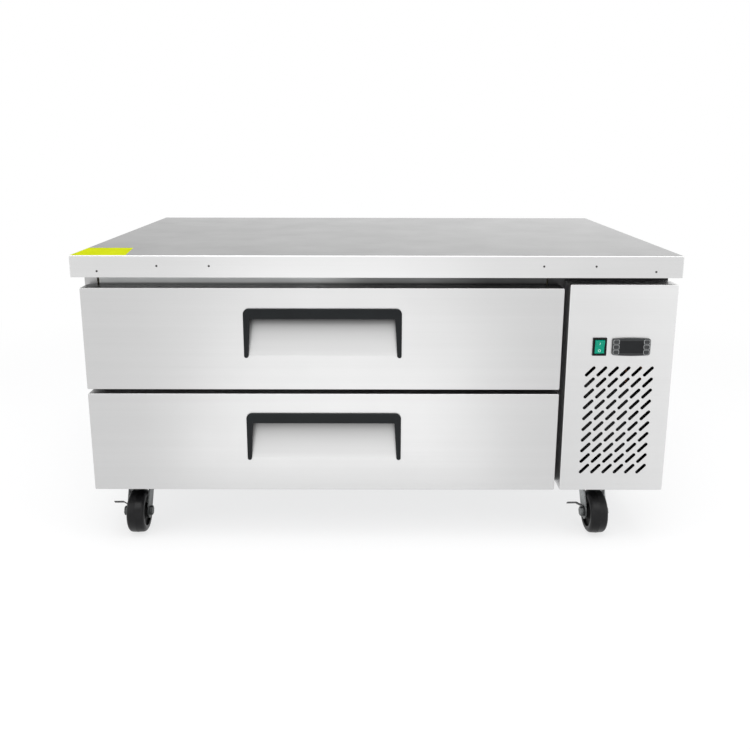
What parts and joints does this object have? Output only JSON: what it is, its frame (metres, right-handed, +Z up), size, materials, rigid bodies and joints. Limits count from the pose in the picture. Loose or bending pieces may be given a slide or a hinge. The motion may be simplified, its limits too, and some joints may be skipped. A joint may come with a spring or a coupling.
{
  "type": "refrigerated chef base",
  "caption": "Low stainless refrigerated base with a flat worktop, wide drawers that pull out on slides, a slotted machine bay beside them, and braked swivel casters.",
  "frame": {"origin": "on the floor, under the middle of the worktop", "axes": "+X to the right as seen from the front, the drawers face -Y, +Z up"},
  "size_m": [1.327, 0.838, 0.676],
  "materials": {
    "worktop_steel": "fine brushed stainless",
    "body_steel": "fine brushed stainless",
    "front_steel": "fine brushed stainless",
    "frame_steel": "satin stainless",
    "liner_steel": "satin stainless",
    "galvanised": "galvanised sheet",
    "screw_steel": "dull screw heads",
    "breaker_plastic": "grey moulded strip",
    "foam": "closed-cell rigid foam",
    "slide_steel": "zinc plated",
    "fin_aluminium": "fin pack",
    "fan_plastic": "moulded fan",
    "switch_plastic": "black moulded",
    "rocker_green": "translucent green",
    "controller_plastic": "dark grey moulded",
    "key_plastic": "dark grey keys",
    "unit_black": "black enamel",
    "copper": "copper pipe",
    "zinc": "zinc plated",
    "wheel_rubber": "black polyurethane",
    "gasket_rubber": "soft magnetic gasket",
    "handle_plastic": "black moulded surround"
  },
  "bodies": {
    "cabinet": {"worktop": "worktop_steel", "worktop_stiffeners": "galvanised", "worktop_screws": "screw_steel", "left_side_panel": "body_steel", "right_side_panel": "body_steel", "back_panel": "galvanised", "base_panel": "galvanised", "front_frame": "frame_steel", "breaker_strips": "breaker_plastic", "insulation": "foam", "liner": "liner_steel", "machine_divider": "frame_steel", "drawer_runners": "slide_steel", "evaporator_coil": "fin_aluminium", "evaporator_housing": "liner_steel", "machine_front_panel": "body_steel", "switch_bezel": "switch_plastic", "controller_body": "controller_plastic", "unit_base": "galvanised", "condenser_coil": "fin_aluminium", "fan_shroud": "unit_black", "condenser_motor": "unit_black", "compressor": "unit_black", "refrigerant_piping": "copper", "junction_box": "galvanised", "cord_gland": "switch_plastic", "caster_plates": "zinc"},
    "lower_drawer": {"lower_drawer_skin": "front_steel", "lower_drawer_core": "foam", "lower_drawer_inner_panel": "liner_steel", "lower_drawer_gasket": "gasket_rubber", "lower_drawer_handle": "handle_plastic", "lower_drawer_pan_frame": "liner_steel"},
    "lower_slides": {"lower_intermediate_slides": "slide_steel"},
    "upper_drawer": {"upper_drawer_skin": "front_steel", "upper_drawer_core": "foam", "upper_drawer_inner_panel": "liner_steel", "upper_drawer_gasket": "gasket_rubber", "upper_drawer_handle": "handle_plastic", "upper_drawer_pan_frame": "liner_steel"},
    "upper_slides": {"upper_intermediate_slides": "slide_steel"},
    "front_left_swivel": {"front_left_caster_fork": "zinc"},
    "front_left_wheel": {"front_left_caster_wheel": "wheel_rubber"},
    "front_left_brake": {"front_left_brake_lever": "zinc"},
    "front_right_swivel": {"front_right_caster_fork": "zinc"},
    "front_right_wheel": {"front_right_caster_wheel": "wheel_rubber"},
    "front_right_brake": {"front_right_brake_lever": "zinc"},
    "rear_left_swivel": {"rear_left_caster_fork": "zinc"},
    "rear_left_wheel": {"rear_left_caster_wheel": "wheel_rubber"},
    "rear_right_swivel": {"rear_right_caster_fork": "zinc"},
    "rear_right_wheel": {"rear_right_caster_wheel": "wheel_rubber"},
    "rocker": {"switch_rocker": "rocker_green"},
    "key_1": {"controller_key_1": "key_plastic"},
    "key_2": {"controller_key_2": "key_plastic"},
    "key_3": {"controller_key_3": "key_plastic"},
    "key_4": {"controller_key_4": "key_plastic"},
    "key_5": {"controller_key_5": "key_plastic"},
    "key_6": {"controller_key_6": "key_plastic"},
    "condenser_fan_rotor": {"condenser_fan": "fan_plastic"},
    "evaporator_fan_rotor": {"evaporator_fan": "fan_plastic"}
  },
  "joints": [
    {"name": "lower_drawer_pull", "type": "slide", "parent": "cabinet", "child": "lower_drawer", "axis": [0, -1, 0], "range_m": [0, 0.5]},
    {"name": "lower_slide_travel", "type": "slide", "parent": "cabinet", "child": "lower_slides", "axis": [0, -1, 0], "range_m": [0, 0.25]},
    {"name": "upper_drawer_pull", "type": "slide", "parent": "cabinet", "child": "upper_drawer", "axis": [0, -1, 0], "range_m": [0, 0.5]},
    {"name": "upper_slide_travel", "type": "slide", "parent": "cabinet", "child": "upper_slides", "axis": [0, -1, 0], "range_m": [0, 0.25]},
    {"name": "front_left_turn", "type": "hinge", "parent": "cabinet", "child": "front_left_swivel", "pos_m": [-0.5675, -0.32, 0.1041], "axis": [0, 0, 1], "continuous": true},
    {"name": "front_left_roll", "type": "hinge", "parent": "front_left_swivel", "child": "front_left_wheel", "pos_m": [-0.56658, -0.35499, 0.0508], "axis": [0.9997, 0.0262, 0], "continuous": true},
    {"name": "front_left_brake_press", "type": "hinge", "parent": "front_left_swivel", "child": "front_left_brake", "pos_m": [-0.56658, -0.35499, 0.0508], "axis": [-0.9997, -0.0262, 0], "range_deg": [0, 25]},
    {"name": "front_right_turn", "type": "hinge", "parent": "cabinet", "child": "front_right_swivel", "pos_m": [0.5222, -0.32, 0.1041], "axis": [0, 0, 1], "continuous": true},
    {"name": "front_right_roll", "type": "hinge", "parent": "front_right_swivel", "child": "front_right_wheel", "pos_m": [0.5236, -0.35497, 0.0508], "axis": [0.9992, 0.0401, 0], "continuous": true},
    {"name": "front_right_brake_press", "type": "hinge", "parent": "front_right_swivel", "child": "front_right_brake", "pos_m": [0.5236, -0.35497, 0.0508], "axis": [-0.9992, -0.0401, 0], "range_deg": [0, 25]},
    {"name": "rear_left_turn", "type": "hinge", "parent": "cabinet", "child": "rear_left_swivel", "pos_m": [-0.5675, 0.33, 0.1041], "axis": [0, 0, 1], "continuous": true},
    {"name": "rear_left_roll", "type": "hinge", "parent": "rear_left_swivel", "child": "rear_left_wheel", "pos_m": [-0.56263, 0.36466, 0.0508], "axis": [-0.9903, 0.1392, 0], "continuous": true},
    {"name": "rear_right_turn", "type": "hinge", "parent": "cabinet", "child": "rear_right_swivel", "pos_m": [0.5222, 0.33, 0.1041], "axis": [0, 0, 1], "continuous": true},
    {"name": "rear_right_roll", "type": "hinge", "parent": "rear_right_swivel", "child": "rear_right_wheel", "pos_m": [0.51552, 0.36436, 0.0508], "axis": [-0.9816, -0.1908, 0], "continuous": true},
    {"name": "rocker_press", "type": "hinge", "parent": "cabinet", "child": "rocker", "pos_m": [0.495, -0.408, 0.47251], "axis": [-1, 0, 0], "range_deg": [0, 16]},
    {"name": "key_1_press", "type": "slide", "parent": "cabinet", "child": "key_1", "axis": [0, 1, 0], "range_m": [0, 0.0005], "stiffness_N_per_m": 400},
    {"name": "key_2_press", "type": "slide", "parent": "cabinet", "child": "key_2", "axis": [0, 1, 0], "range_m": [0, 0.0005], "stiffness_N_per_m": 400},
    {"name": "key_3_press", "type": "slide", "parent": "cabinet", "child": "key_3", "axis": [0, 1, 0], "range_m": [0, 0.0005], "stiffness_N_per_m": 400},
    {"name": "key_4_press", "type": "slide", "parent": "cabinet", "child": "key_4", "axis": [0, 1, 0], "range_m": [0, 0.0005], "stiffness_N_per_m": 400},
    {"name": "key_5_press", "type": "slide", "parent": "cabinet", "child": "key_5", "axis": [0, 1, 0], "range_m": [0, 0.0005], "stiffness_N_per_m": 400},
    {"name": "key_6_press", "type": "slide", "parent": "cabinet", "child": "key_6", "axis": [0, 1, 0], "range_m": [0, 0.0005], "stiffness_N_per_m": 400},
    {"name": "condenser_fan_spin", "type": "hinge", "parent": "cabinet", "child": "condenser_fan_rotor", "pos_m": [0.541, -0.2585, 0.24851], "axis": [0, 1, 0], "continuous": true},
    {"name": "evaporator_fan_spin", "type": "hinge", "parent": "cabinet", "child": "evaporator_fan_rotor", "pos_m": [0.1072, 0.2862, 0.4772], "axis": [0, 1, 0], "continuous": true}
  ],
  "couplings": [
    {"joint": "lower_slide_travel", "follows": "lower_drawer_pull", "ratio": 0.5},
    {"joint": "upper_slide_travel", "follows": "upper_drawer_pull", "ratio": 0.5}
  ]
}
